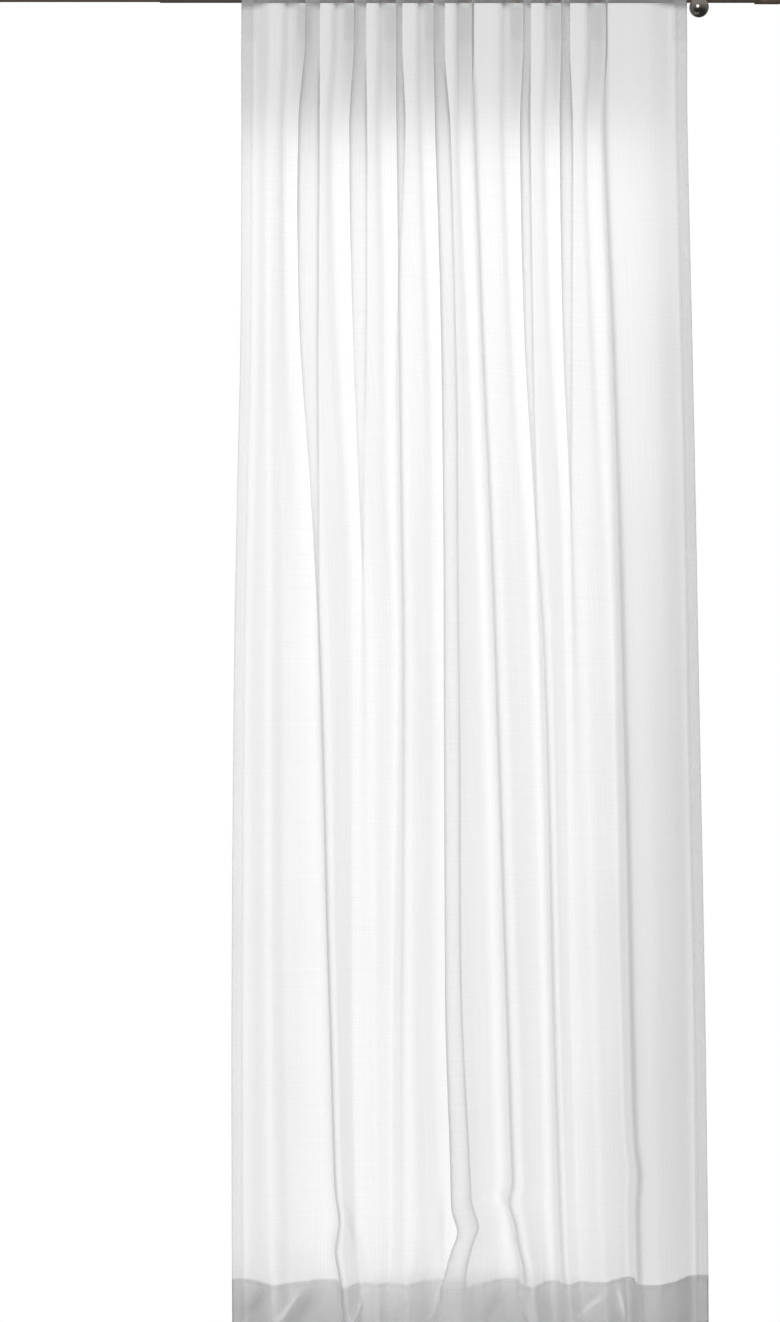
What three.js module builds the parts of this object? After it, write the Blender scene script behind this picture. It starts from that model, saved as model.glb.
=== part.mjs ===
// A sheer curtain panel with hidden tabs, gathered on a slim rod that two ball-ended brackets hold.
// Millimetres, +Z up. The brackets' plates stand on the plane Y = 0 and the front faces -Y.
// The origin is on that plane, behind the rod's axis and the middle of the gathered heading.
import * as THREE from 'three';

// Cloth: finished flat size, and the sheet's thickness alone and where a hem doubles it
const FLAT_WIDTH = 1400;
const HEADING_TOP = 25;
const HEM_BOTTOM = -2430;
const SHEET = 1.2;
const HEMMED_SHEET = 2.2;
const SIDE_HEM = 20;
const BOTTOM_HEM = 95;
const HEM_STEP = 8;

// Rod, measured from its axis
const ROD_Y = -90;
const OUTER_RADIUS = 10;
const INNER_RADIUS = 8.5;
const INNER_LEFT = -915;
const TUBES_MEET = -563;
const OUTER_RIGHT = 534;
const CAP_LENGTH = 50;
const CAP_OVERHANG = 2.5;
const CAP_ROUND = 5;

// Brackets: a round plate and its arm above the rod, a cradle that hangs from the arm, and a ball knob
const BRACKET_RIGHT_X = 428;
const BRACKET_LEFT_X = -885;
const ARM_Z = 56;
const ARM_RADIUS = 6;
const PLATE_RADIUS = 26;
const PLATE_THICKNESS = 6;
const PLATE_CHAMFER = 2;
const KNOB_RADIUS = 18;
const KNOB_Y = -125;
const KNOB_Z = -31;
const KNOB_STEM = 5;
const CRADLE_WIDTH = 14;
const CRADLE_FRONT = 13;
const CRADLE_FOOT = -37;
const CRADLE_NECK = 7;
const CRADLE_SLANT = -4;
const CRADLE_LIP = 0.35;

// Hidden tabs behind the heading
const TAB_WIDTH = 28;
const TAB_SHEET = 1.2;
const TAB_FLANGE_TOP = 20;
const TAB_FLANGE_BOTTOM = -85;
const TAB_FILLET = 5;
const EDGE_FLAT = 28;

// Space left between two pieces that touch
const SEAT = 0.3;
const ROUND_STEPS = 24;

// Heights at which the tables below give the folds
const LEVELS = {
  heading: -90, neck: -250, upper: -630, chest: -930,
  middle: -1230, lower: -1830, break: -2260, hem: HEM_BOTTOM,
};
const LEVEL_HEIGHTS = Object.values(LEVELS);

// How far in front of the plates' plane the cloth's rearmost layer hangs, at each level
const BACK_LINE = [-103.4, -101, -95, -90, -86, -84, -84, -84];

// The panel's two side edges: place along the rod at each level, and how far the hem is drawn up there
const LEFT_EDGE = { x: [-411, -410, -410, -415, -419, -420, -417, -415], rise: 0 };
const RIGHT_EDGE = { x: [408, 408, 415, 420, 424, 432, 435, 435], rise: 16 };

// One row per fold, left to right. At each level: where its front edge stands along the rod,
// how far its back turn lies to the right of that edge, and its strength from 0, flat, to 1.
// rise is how far the hem is drawn up there.
const FOLDS = [
  { edge: [-292, -304, -300, -277, -259, -241, -224, -208], overlap: [26, 38, 33, 12, -5, -7, -8, -10],
    strength: [1, 1, 1, 1, 1, 1, 0.9, 0.8], rise: 0 },
  { edge: [-203, -211, -204, -190, -178, -170, -162, -152], overlap: [22, 32, 26, 8, -8, -18, -20, -20],
    strength: [1, 1, 0.8, 0.5, 0.25, 0.12, 0.1, 0.1], rise: 3 },
  { edge: [-126, -125, -119, -115, -110, -112, -112, -118], overlap: [11, 16, -4, -8, -8, -14, -16, -18],
    strength: [1, 1, 0.9, 0.8, 0.7, 0.35, 0.2, 0.12], rise: 2 },
  { edge: [-58, -55, -43, -40, -38, -35, -25, -52], overlap: [21, 29, 27, 28, 29, 30, 38, 50],
    strength: [1, 1, 1, 1, 1, 1, 1, 0.9], rise: 0 },
  { edge: [13, 18, 31, 44, 56, 74, 93, 122], overlap: [3, -6, -7, -7, -7, -8, -12, -14],
    strength: [1, 0.9, 1, 1, 1, 1, 1, 0.9], rise: 4 },
  { edge: [106, 100, 107, 125, 142, 157, 170, 182], overlap: [15, 20, 18, 5, -5, -6, -10, -14],
    strength: [1, 1, 1, 0.9, 0.8, 0.7, 0.5, 0.35], rise: 6 },
  { edge: [175, 172, 178, 190, 203, 217, 230, 240], overlap: [18, 26, 18, 2, -10, -18, -20, -20],
    strength: [1, 1, 0.8, 0.5, 0.25, 0.12, 0.1, 0.1], rise: 8 },
  { edge: [258, 255, 268, 277, 284, 295, 305, 308], overlap: [3, -6, -7, -7, -7, -7, -8, -9],
    strength: [1, 0.9, 1, 1, 1, 1, 0.9, 0.8], rise: 11 },
];

// Shape between two folds, as shares of the way from one front edge to the next fold:
// the crest behind the edge, the slope back and the recess; then how far forward the slope starts
const CREST_SHARE = [0.16, 0.16, 0.18, 0.2, 0.22, 0.22, 0.22, 0.22];
const SLOPE_SHARE = [0.09, 0.12, 0.2, 0.25, 0.28, 0.28, 0.28, 0.28];
const RECESS_SHARE = [0.37, 0.34, 0.28, 0.24, 0.22, 0.22, 0.22, 0.22];
const SLOPE_START = [0.92, 0.84, 0.68, 0.6, 0.56, 0.55, 0.55, 0.55];
const BLOCK_START = [0.85, 0.8, 0.75, 0.7, 0.65, 0.65, 0.65, 0.65];
const BLOCK_CREST = 0.3;
const TURN_START = 0.12;
const HOLLOW_START = 0.06;
const EDGE_START = 0.03;

// Rows of the sheet, from the heading's top edge to the hem, and steps between two fold points
const ROW_HEIGHTS = [
  HEADING_TOP, 0, LEVELS.heading, -165, LEVELS.neck, -370, -500, LEVELS.upper, -780, LEVELS.chest,
  -1080, LEVELS.middle, -1530, LEVELS.lower, -2060, LEVELS.break,
  HEM_BOTTOM + BOTTOM_HEM + HEM_STEP, HEM_BOTTOM + BOTTOM_HEM, HEM_BOTTOM,
];
const FOLD_STEPS = 2;
const GREATEST_DEPTH = 140;
const DEPTH_TRIALS = 30;

const CLOTH_FINISH = { color: 0xf1f2f3, roughness: 0.92, metalness: 0 };
const ROD_FINISH = { color: 0x73655a, roughness: 0.45, metalness: 0.6 };
const INNER_FINISH = { color: 0x7f7165, roughness: 0.45, metalness: 0.6 };
const BRACKET_FINISH = { color: 0x3b3733, roughness: 0.25, metalness: 0.9 };

// Smooth value of a table's row at a height, held still above the first level and below the last
function atHeight(values, z) {
  const last = LEVEL_HEIGHTS.length - 1;
  if (z >= LEVEL_HEIGHTS[0]) return values[0];
  if (z <= LEVEL_HEIGHTS[last]) return values[last];
  const i = LEVEL_HEIGHTS.findIndex((level) => z > level) - 1;
  const slope = (a, b) => (values[b] - values[a]) / (LEVEL_HEIGHTS[b] - LEVEL_HEIGHTS[a]);
  const span = LEVEL_HEIGHTS[i + 1] - LEVEL_HEIGHTS[i];
  const startSlope = i === 0 ? 0 : slope(i - 1, i + 1);
  const endSlope = i + 1 === last ? slope(i, last) : slope(i, i + 2);
  const t = (z - LEVEL_HEIGHTS[i]) / span;
  const ease = t * t * (3 - 2 * t);
  const bend = t * (1 - t);
  return values[i] * (1 - ease) + values[i + 1] * ease
    + span * bend * ((1 - t) * startSlope - t * endSlope);
}

// Points that the cloth passes through at one height, for folds of a given depth.
// A point's forward is its share of that depth, from 0 at the back line to 1 at the crests.
function sectionPoints(z, depth) {
  const backLine = atHeight(BACK_LINE, z);
  const drawnUp = 1 - THREE.MathUtils.smoothstep(z, LEVELS.hem, LEVELS.break);
  const place = (x, forward, rise) => new THREE.Vector3(x, backLine - forward * depth, z + rise * drawnUp);
  const leftX = atHeight(LEFT_EDGE.x, z);
  const rightX = atHeight(RIGHT_EDGE.x, z);
  const slopeStart = atHeight(SLOPE_START, z);
  const blockForward = atHeight(BLOCK_START, z);
  const folds = FOLDS.map((fold) => {
    const edge = atHeight(fold.edge, z);
    const turn = edge + atHeight(fold.overlap, z);
    const half = atHeight(fold.strength, z) / 2;
    return { edge, turn, left: Math.min(edge, turn), rear: 0.5 - half, front: 0.5 + half, rise: fold.rise };
  });

  const points = [
    place(leftX, EDGE_START, LEFT_EDGE.rise),
    place(leftX + EDGE_FLAT, EDGE_START, LEFT_EDGE.rise),
    place(THREE.MathUtils.lerp(leftX + EDGE_FLAT, folds[0].left, BLOCK_CREST), blockForward, LEFT_EDGE.rise),
  ];
  let from = leftX + EDGE_FLAT;
  let fromForward = blockForward;
  folds.forEach(({ edge, turn, left, rear, front, rise }, i) => {
    const reach = front - rear;
    const hollow = left - atHeight(RECESS_SHARE, z) * (left - from);
    const slope = hollow - atHeight(SLOPE_SHARE, z) * (left - from);
    const nextLeft = i + 1 < folds.length ? folds[i + 1].left : rightX;
    points.push(
      place(slope, rear + (fromForward - rear) * slopeStart, rise),
      place(hollow, rear + HOLLOW_START * reach, rise),
      place((hollow + turn) / 2, rear, rise),
      place(turn, rear + TURN_START * reach, rise),
      place(edge, front - TURN_START * reach, rise),
      place(edge + atHeight(CREST_SHARE, z) * (nextLeft - edge), front, rise),
    );
    from = edge;
    fromForward = front;
  });
  points.push(
    place((from + rightX) / 2, blockForward, RIGHT_EDGE.rise),
    place(rightX - EDGE_FLAT, EDGE_START, RIGHT_EDGE.rise),
    place(rightX, EDGE_START, RIGHT_EDGE.rise),
  );
  return points;
}

// The cloth's middle line at one height, with the same number of points in every row
function sectionLine(z, depth) {
  const points = sectionPoints(z, depth);
  const curve = new THREE.CatmullRomCurve3(points, false, 'centripetal');
  return curve.getPoints((points.length - 1) * FOLD_STEPS);
}

function lineLength(line) {
  return line.slice(1).reduce((sum, point, i) => sum + point.distanceTo(line[i]), 0);
}

// The cloth keeps its width: the folds are as deep as takes up the flat width at that height
function hungLine(z) {
  let shallow = 0;
  let deep = GREATEST_DEPTH;
  for (let trial = 0; trial < DEPTH_TRIALS; trial += 1) {
    const depth = (shallow + deep) / 2;
    if (lineLength(sectionLine(z, depth)) < FLAT_WIDTH) shallow = depth;
    else deep = depth;
  }
  return sectionLine(z, deep);
}

// Half the sheet's thickness at a point of a row, thicker in the side hems and the bottom hem
function halfThickness(fromSide, z) {
  const sideShare = 1 - THREE.MathUtils.smoothstep(fromSide, SIDE_HEM, SIDE_HEM + HEM_STEP);
  const hemTop = HEM_BOTTOM + BOTTOM_HEM;
  const bottomShare = 1 - THREE.MathUtils.smoothstep(z, hemTop, hemTop + HEM_STEP);
  return THREE.MathUtils.lerp(SHEET, HEMMED_SHEET, Math.max(sideShare, bottomShare)) / 2;
}

// The row's front and back points, half a thickness to either side of its middle line
function rowFaces(z) {
  const line = hungLine(z);
  const whole = lineLength(line);
  let along = 0;
  return line.map((point, i) => {
    if (i > 0) along += point.distanceTo(line[i - 1]);
    const before = line[Math.max(i - 1, 0)];
    const after = line[Math.min(i + 1, line.length - 1)];
    const facing = new THREE.Vector3(after.y - before.y, before.x - after.x, 0).normalize();
    const half = halfThickness(Math.min(along, whole - along), z);
    const shifted = (by) => point.clone().addScaledVector(facing, by);
    return { front: shifted(half), back: shifted(-half) };
  });
}

// Closed sheet from rows of front and back points: two faces and a narrow rim all round
function sheetGeometry(rows) {
  const columns = rows[0].length;
  const sides = rows.flat().flatMap((point) => [point.front, point.back]);
  const positions = sides.flatMap((point) => point.toArray());
  const front = (r, c) => 2 * (r * columns + c);
  const back = (r, c) => front(r, c) + 1;
  const index = [];
  const quad = (a, b, c, d) => index.push(a, b, c, a, c, d);
  const lastRow = rows.length - 1;
  const lastColumn = columns - 1;
  for (let r = 0; r < lastRow; r += 1) {
    for (let c = 0; c < lastColumn; c += 1) {
      quad(front(r, c), front(r + 1, c), front(r + 1, c + 1), front(r, c + 1));
      quad(back(r, c), back(r, c + 1), back(r + 1, c + 1), back(r + 1, c));
    }
    quad(front(r, 0), back(r, 0), back(r + 1, 0), front(r + 1, 0));
    quad(front(r, lastColumn), front(r + 1, lastColumn), back(r + 1, lastColumn), back(r, lastColumn));
  }
  for (let c = 0; c < lastColumn; c += 1) {
    quad(front(0, c), front(0, c + 1), back(0, c + 1), back(0, c));
    quad(front(lastRow, c), back(lastRow, c), back(lastRow, c + 1), front(lastRow, c + 1));
  }
  const geometry = new THREE.BufferGeometry();
  geometry.setAttribute('position', new THREE.Float32BufferAttribute(positions, 3));
  geometry.setIndex(index);
  return geometry;
}

function named(name, geometry, finish) {
  const mesh = new THREE.Mesh(geometry, new THREE.MeshStandardMaterial(finish));
  mesh.name = name;
  return mesh;
}

// An outline drawn across the rod, with y to the right and z up, made a solid of some width along it
function acrossRod(outline, width) {
  const settings = { depth: width, bevelEnabled: false, curveSegments: ROUND_STEPS / 2 };
  const geometry = new THREE.ExtrudeGeometry(outline, settings);
  const turn = new THREE.Matrix4().makeBasis(
    new THREE.Vector3(0, 1, 0), new THREE.Vector3(0, 0, 1), new THREE.Vector3(1, 0, 0),
  );
  return geometry.applyMatrix4(turn).translate(-width / 2, 0, 0);
}

// A tab's route: down the heading's back, over and round the rod, and down the heading's back again
function tabGeometry() {
  const wrap = OUTER_RADIUS + SEAT + TAB_SHEET / 2;
  const flange = -wrap;
  const bend = flange + TAB_FILLET;
  const route = new THREE.Path();
  route.moveTo(flange, TAB_FLANGE_TOP);
  route.lineTo(flange, wrap + TAB_FILLET);
  route.absarc(bend, wrap + TAB_FILLET, TAB_FILLET, Math.PI, 1.5 * Math.PI, false);
  route.absarc(0, 0, wrap, Math.PI / 2, -Math.PI / 2, true);
  route.absarc(bend, -wrap - TAB_FILLET, TAB_FILLET, Math.PI / 2, Math.PI, false);
  route.lineTo(flange, TAB_FLANGE_BOTTOM);
  const middle = route.getPoints(ROUND_STEPS / 4);
  const side = (half) => middle.map((point, i) => {
    const before = middle[Math.max(i - 1, 0)];
    const after = middle[Math.min(i + 1, middle.length - 1)];
    const across = new THREE.Vector2(before.y - after.y, after.x - before.x).normalize();
    return point.clone().addScaledVector(across, half);
  });
  const outline = new THREE.Shape([...side(TAB_SHEET / 2), ...side(-TAB_SHEET / 2).reverse()]);
  return acrossRod(outline, TAB_WIDTH);
}

// Tabs stand behind each recess and behind the two flat side edges
function tabPlaces() {
  const starts = [LEFT_EDGE.x[0] + EDGE_FLAT, ...FOLDS.map((fold) => fold.edge[0])];
  const recesses = FOLDS.map(({ edge, overlap }, i) => {
    const hollow = edge[0] - RECESS_SHARE[0] * (edge[0] - starts[i]);
    return (hollow + edge[0] + overlap[0]) / 2;
  });
  return [LEFT_EDGE.x[0] + EDGE_FLAT / 2, ...recesses, RIGHT_EDGE.x[0] - EDGE_FLAT / 2];
}

function tabs() {
  const group = new THREE.Group();
  tabPlaces().forEach((x, i) => {
    const tab = named(`tab_${String(i + 1).padStart(2, '0')}`, tabGeometry(), CLOTH_FINISH);
    tab.position.x = x;
    group.add(tab);
  });
  group.position.y = ROD_Y;
  return group;
}

function tube(name, radius, left, right, finish) {
  const geometry = new THREE.CylinderGeometry(radius, radius, right - left, ROUND_STEPS).rotateZ(Math.PI / 2);
  const mesh = named(name, geometry, finish);
  mesh.position.x = (left + right) / 2;
  return mesh;
}

// A plain cap, thicker than its tube, with a rounded outer end
function cap(name, radius, x, outwards, finish) {
  const profile = new THREE.Path();
  profile.moveTo(0, 0);
  profile.lineTo(radius, 0);
  profile.lineTo(radius, CAP_LENGTH - CAP_ROUND);
  profile.absarc(radius - CAP_ROUND, CAP_LENGTH - CAP_ROUND, CAP_ROUND, 0, Math.PI / 2, false);
  profile.lineTo(0, CAP_LENGTH);
  const geometry = new THREE.LatheGeometry(profile.getPoints(ROUND_STEPS / 8), ROUND_STEPS);
  const mesh = named(name, geometry, finish);
  mesh.rotation.z = -outwards * Math.PI / 2;
  mesh.position.x = x;
  return mesh;
}

function rod() {
  const group = new THREE.Group();
  group.add(
    tube('rod_outer_tube', OUTER_RADIUS, TUBES_MEET, OUTER_RIGHT, ROD_FINISH),
    tube('rod_inner_tube', INNER_RADIUS, INNER_LEFT, TUBES_MEET - SEAT, INNER_FINISH),
    cap('rod_cap_right', OUTER_RADIUS + CAP_OVERHANG, OUTER_RIGHT + SEAT, 1, ROD_FINISH),
    cap('rod_cap_left', INNER_RADIUS + CAP_OVERHANG, INNER_LEFT - SEAT, -1, INNER_FINISH),
  );
  group.position.y = ROD_Y;
  return group;
}

// A hook with a round seat for the tube, whose neck rises behind the tube to the arm
function cradleGeometry(tubeRadius) {
  const seat = tubeRadius + SEAT;
  const top = ARM_Z - ARM_RADIUS - SEAT;
  const outline = new THREE.Shape();
  outline.moveTo(-CRADLE_FRONT, CRADLE_FOOT);
  outline.lineTo(CRADLE_SLANT, CRADLE_FOOT);
  outline.lineTo(seat + CRADLE_NECK, -seat);
  outline.lineTo(seat + CRADLE_NECK, top);
  outline.lineTo(seat, top);
  outline.absarc(0, 0, seat, 0, CRADLE_LIP - Math.PI, true);
  outline.lineTo(-CRADLE_FRONT, -seat * Math.sin(CRADLE_LIP));
  outline.closePath();
  return acrossRod(outline, CRADLE_WIDTH);
}

// A ball on a short stem that ends at the cradle's front
function knobGeometry() {
  const stemEnd = ROD_Y - CRADLE_FRONT - SEAT - KNOB_Y;
  const profile = new THREE.Path();
  profile.absarc(0, 0, KNOB_RADIUS, -Math.PI / 2, Math.acos(KNOB_STEM / KNOB_RADIUS), false);
  profile.lineTo(KNOB_STEM, stemEnd);
  profile.lineTo(0, stemEnd);
  return new THREE.LatheGeometry(profile.getPoints(ROUND_STEPS / 4), ROUND_STEPS);
}

function plateGeometry() {
  const profile = [
    new THREE.Vector2(0, -PLATE_THICKNESS),
    new THREE.Vector2(PLATE_RADIUS - PLATE_CHAMFER, -PLATE_THICKNESS),
    new THREE.Vector2(PLATE_RADIUS, PLATE_CHAMFER - PLATE_THICKNESS),
    new THREE.Vector2(PLATE_RADIUS, 0),
    new THREE.Vector2(0, 0),
  ];
  return new THREE.LatheGeometry(profile, ROUND_STEPS);
}

function bracket(side, x, tubeRadius) {
  const armBack = -PLATE_THICKNESS - SEAT;
  const armFront = ROD_Y;
  const arm = named(
    `bracket_${side}_arm`,
    new THREE.CylinderGeometry(ARM_RADIUS, ARM_RADIUS, armBack - armFront, ROUND_STEPS / 2),
    BRACKET_FINISH,
  );
  arm.position.set(0, (armBack + armFront) / 2, ARM_Z);
  const plate = named(`bracket_${side}_plate`, plateGeometry(), BRACKET_FINISH);
  plate.position.z = ARM_Z;
  const cradle = named(`bracket_${side}_cradle`, cradleGeometry(tubeRadius), BRACKET_FINISH);
  cradle.position.y = ROD_Y;
  const knob = named(`bracket_${side}_knob`, knobGeometry(), BRACKET_FINISH);
  knob.position.set(0, KNOB_Y, KNOB_Z);
  const group = new THREE.Group();
  group.add(plate, arm, cradle, knob);
  group.position.x = x;
  return group;
}

const curtain = new THREE.Group();
curtain.add(
  named('curtain_panel', sheetGeometry(ROW_HEIGHTS.map(rowFaces)), CLOTH_FINISH),
  tabs(),
  rod(),
  bracket('right', BRACKET_RIGHT_X, OUTER_RADIUS),
  bracket('left', BRACKET_LEFT_X, INNER_RADIUS),
);

export default curtain;
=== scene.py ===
"""A sheer curtain panel with hidden tabs on its rod: cloth, rod, brackets and a plain stage."""

import math

import bmesh
import bpy
import numpy as np
from bpy.props import FloatProperty, FloatVectorProperty, IntProperty, PointerProperty
from mathutils import Matrix, Vector


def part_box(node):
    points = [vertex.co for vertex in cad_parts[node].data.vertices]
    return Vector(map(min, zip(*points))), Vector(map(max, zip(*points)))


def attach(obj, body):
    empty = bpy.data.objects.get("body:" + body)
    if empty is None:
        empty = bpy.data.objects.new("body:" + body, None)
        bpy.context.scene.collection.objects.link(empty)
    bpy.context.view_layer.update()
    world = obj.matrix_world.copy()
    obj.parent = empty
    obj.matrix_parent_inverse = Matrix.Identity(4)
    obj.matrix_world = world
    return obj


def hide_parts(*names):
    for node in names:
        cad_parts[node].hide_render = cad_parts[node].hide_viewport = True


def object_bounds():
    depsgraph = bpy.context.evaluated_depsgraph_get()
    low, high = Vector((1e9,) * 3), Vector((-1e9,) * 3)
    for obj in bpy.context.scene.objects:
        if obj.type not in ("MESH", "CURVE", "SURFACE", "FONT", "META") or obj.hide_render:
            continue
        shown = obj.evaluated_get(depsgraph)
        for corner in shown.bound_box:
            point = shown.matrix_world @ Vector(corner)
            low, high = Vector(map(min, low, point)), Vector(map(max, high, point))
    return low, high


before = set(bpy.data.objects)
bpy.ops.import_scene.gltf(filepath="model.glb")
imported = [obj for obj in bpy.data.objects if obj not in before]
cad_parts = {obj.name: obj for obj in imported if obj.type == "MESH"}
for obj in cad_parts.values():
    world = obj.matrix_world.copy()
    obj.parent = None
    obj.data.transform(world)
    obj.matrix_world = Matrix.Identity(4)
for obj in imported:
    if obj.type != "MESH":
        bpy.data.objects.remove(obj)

CAD_BOX = [list(corner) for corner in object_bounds()]

bl_info = {
    "name": "Sheer curtain on a rod",
    "version": (1, 0, 0),
    "blender": (4, 5, 0),
    "location": "3D View > Sidebar > Curtain",
    "description": "Builds a gathered sheer panel, its hidden tabs, its rod and its brackets",
    "category": "Add Mesh",
}

MM = 0.001
BODY = "root"

# Heights at which the tables give the folds, from the heading to the hem, in millimetres
LEVELS = np.array([-90, -250, -630, -930, -1230, -1830, -2260, -2430], float)

# How far in front of the plates' plane the rearmost layer hangs, and where the side edges stand
BACK_LINE = [-103.4, -101, -95, -90, -86, -84, -84, -84]
LEFT_EDGE = {"x": [-411, -410, -410, -415, -419, -420, -417, -415], "rise": 0}
RIGHT_EDGE = {"x": [408, 408, 415, 420, 424, 432, 435, 435], "rise": 16}

# One row per fold, left to right. At each level: its front edge along the rod, how far its back
# turn lies to the right of that edge, how strong it is, and how clear the lines of its front edge and
# of its back turn are. rise is how far the hem is drawn up there.
FOLDS = [
    {"edge": [-292, -304, -300, -277, -259, -241, -224, -208], "overlap": [26, 38, 33, 12, -5, -7, -8, -10],
     "strength": [1, 1, 1, 1, 1, 1, 0.9, 0.8], "rise": 0,
     "front": [0.1, 1, 0.45, 0.15, 0.9, 1, 0.9, 0.8], "back": [0, 1.2, 1.4, 1.4, 0.6, 0, 0, 0]},
    {"edge": [-203, -211, -204, -190, -178, -170, -162, -152], "overlap": [22, 32, 26, 8, -8, -18, -20, -20],
     "strength": [1, 1, 0.8, 0.5, 0.25, 0.12, 0.1, 0.1], "rise": 3,
     "front": [0.1, 0.8, 0.3, 0.15, 0.12, 0.1, 0.1, 0.1], "back": [0, 1, 0.8, 0.5, 0.2, 0, 0, 0]},
    {"edge": [-126, -125, -119, -115, -110, -112, -112, -118], "overlap": [11, 16, -4, -8, -8, -14, -16, -18],
     "strength": [1, 1, 0.9, 0.8, 0.7, 0.35, 0.2, 0.12], "rise": 2,
     "front": [0.1, 1, 1, 0.9, 0.8, 0.45, 0.25, 0.15], "back": [0, 0.9, 0.5, 0, 0, 0, 0, 0]},
    {"edge": [-58, -55, -43, -40, -38, -35, -25, -52], "overlap": [21, 29, 27, 28, 29, 30, 38, 50],
     "strength": [1, 1, 1, 1, 1, 1, 1, 0.9], "rise": 0,
     "front": [0.1, 1, 1, 1, 1, 1, 1, 0.9], "back": [0, 1.2, 1.4, 1.4, 1.4, 1.4, 1.3, 1]},
    {"edge": [13, 18, 31, 44, 56, 74, 93, 122], "overlap": [3, -6, -7, -7, -7, -8, -12, -14],
     "strength": [1, 0.9, 1, 1, 1, 1, 1, 0.9], "rise": 4,
     "front": [0.1, 0.9, 1, 1, 1, 1, 1, 0.9], "back": [0, 0, 0, 0, 0, 0, 0, 0]},
    {"edge": [106, 100, 107, 125, 142, 157, 170, 182], "overlap": [15, 20, 18, 5, -5, -6, -10, -14],
     "strength": [1, 1, 1, 0.9, 0.8, 0.7, 0.5, 0.35], "rise": 6,
     "front": [0.1, 1, 0.6, 0.35, 0.8, 0.7, 0.5, 0.35], "back": [0, 1.2, 1.4, 1.3, 0.4, 0, 0, 0]},
    {"edge": [175, 172, 178, 190, 203, 217, 230, 240], "overlap": [18, 26, 18, 2, -10, -18, -20, -20],
     "strength": [1, 1, 0.8, 0.5, 0.25, 0.12, 0.1, 0.1], "rise": 8,
     "front": [0.1, 0.9, 0.45, 0.25, 0.2, 0.12, 0.1, 0.1], "back": [0, 1, 0.9, 0.5, 0, 0, 0, 0]},
    {"edge": [258, 255, 268, 277, 284, 295, 305, 308], "overlap": [3, -6, -7, -7, -7, -7, -8, -9],
     "strength": [1, 0.9, 1, 1, 1, 1, 0.9, 0.8], "rise": 11,
     "front": [0.1, 0.9, 1, 1, 1, 1, 0.9, 0.8], "back": [0, 0, 0, 0, 0, 0, 0, 0]},
]

# Shape between two folds, as shares of the way from one front edge to the next fold
CREST_SHARE = [0.16, 0.16, 0.18, 0.2, 0.22, 0.22, 0.22, 0.22]
SLOPE_SHARE = [0.09, 0.12, 0.2, 0.25, 0.28, 0.28, 0.28, 0.28]
RECESS_SHARE = [0.37, 0.34, 0.28, 0.24, 0.22, 0.22, 0.22, 0.22]
SLOPE_START = [0.92, 0.84, 0.68, 0.6, 0.56, 0.55, 0.55, 0.55]
BLOCK_START = [0.85, 0.8, 0.75, 0.7, 0.65, 0.65, 0.65, 0.65]
BLOCK_CREST = 0.3
TURN_START = 0.12
HOLLOW_START = 0.06
EDGE_START = 0.03
EDGE_FLAT = 28

# Points of a section: the left edge's, then six for each fold, of which three are asked for by place
POINTS_BEFORE_FOLDS = 3
POINTS_PER_FOLD = 6
SEAT_POINT = 2
TURN_POINT = 3
EDGE_POINT = 4

# Steps of the curve from one point to the next, and the search for the depth that takes up the cloth
CURVE_STEPS = 9
DEEPEST_FOLD = 140.0
DEPTH_ROUNDS = 22

# How much closer rows lie in the heading and near the hem, and a size too small to matter
ROW_EASE = 0.085
TINY = 1e-6

# Cloth that runs from front to back is seen on edge and looks this much denser at most, as 1 / share
EDGE_ON = 0.75

# Lines along a fold's front edge and back turn, where cloth on edge is denser and painted shade takes glow
# away: reach to each side, what they add to the cover, and the most of lines and painted shading together
LINE_REACH = 6
LINE_PLIES = 2
MOST_SHADING = 1.4

# Painted shade in a crease's trough and painted light on its ridge, drawn in the cover and the glow: reach as
# a share of its width, how strong, and the share of its swell that is cut off at each end
CREASE_REACH = 0.7
CREASE_SHADING = 0.35
CREASE_ENDS = 0.1

# The hem isn't lit from behind, so creases there gain glow where others lose it: heights above the hem
# over which that turns
HEM_BLEND = (0, 12)

# Cover of the two layers behind a fold's front, at each level, as a share of a free layer's, and the
# runs over which it sets in at the back turn, ends at the front edge and grows with the overlap
HIDDEN_PLY = [0.32, 0.36, 0.3, 0.3, 0.3, 0.3, 0.3, 0.3]
HIDDEN_START = (-6, 6)
HIDDEN_END = (-3, 5)
HIDDEN_OVERLAP = (2, 14)

# Cover of a tab, and what the turned cloth of a side hem and of the bottom hem adds to a free layer's
TAB_PLIES = 0.3
SIDE_HEM_PLIES = -0.45
BOTTOM_HEM_PLIES = 1.0

# Cloth bunched at a tab, and painted shade down the heading's recesses, both as extra cover: what it adds to
# the cover, its reach across and how far down it fades
GATHER_SHADE_PLIES = 1.0
GATHER_SHADE_REACH = 18
GATHER_SHADE_FADE = (-330, -70)

# Doubled cloth along the heading's top: what it adds to the cover, and the heights where it sets in
HEADER_PLIES = 4.0
HEADER_EDGE = (-26, -14)

# Kinks where a fold breaks above the hem: fold, height, shift along the rod, spread
KINKS = [
    (0, -2215, 5, 30),
    (0, -2275, -4, 26),
    (3, -2238, 12, 26),
    (3, -2320, -7, 34),
    (4, -2188, -10, 22),
    (4, -2300, 6, 36),
    (7, -2140, 5, 40),
]

# Soft creases near the hem, as seen from the front: both ends along the rod and in
# height, the half width and the height of the ridge, which is a trough where that is negative
CREASES = [
    ((-205, -2195), (-176, -2330), 9, -4),
    ((-38, -2165), (-40, -2332), 6, -2),
    ((62, -2165), (98, -2326), 9, -5),
    ((-350, -2330), (-392, -2390), 14, -6),
    ((-290, -2346), (-340, -2404), 8, 5),
    ((-250, -2338), (-306, -2404), 18, -10),
    ((-174, -2336), (-206, -2404), 6, 6),
    ((-84, -2338), (-140, -2404), 20, -11),
    ((-38, -2328), (-64, -2405), 7, 8),
    ((80, -2345), (38, -2400), 15, -9),
    ((96, -2330), (122, -2402), 6, 8),
    ((250, -2345), (194, -2396), 8, 4),
    ((270, -2340), (284, -2405), 7, 4),
]

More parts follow.
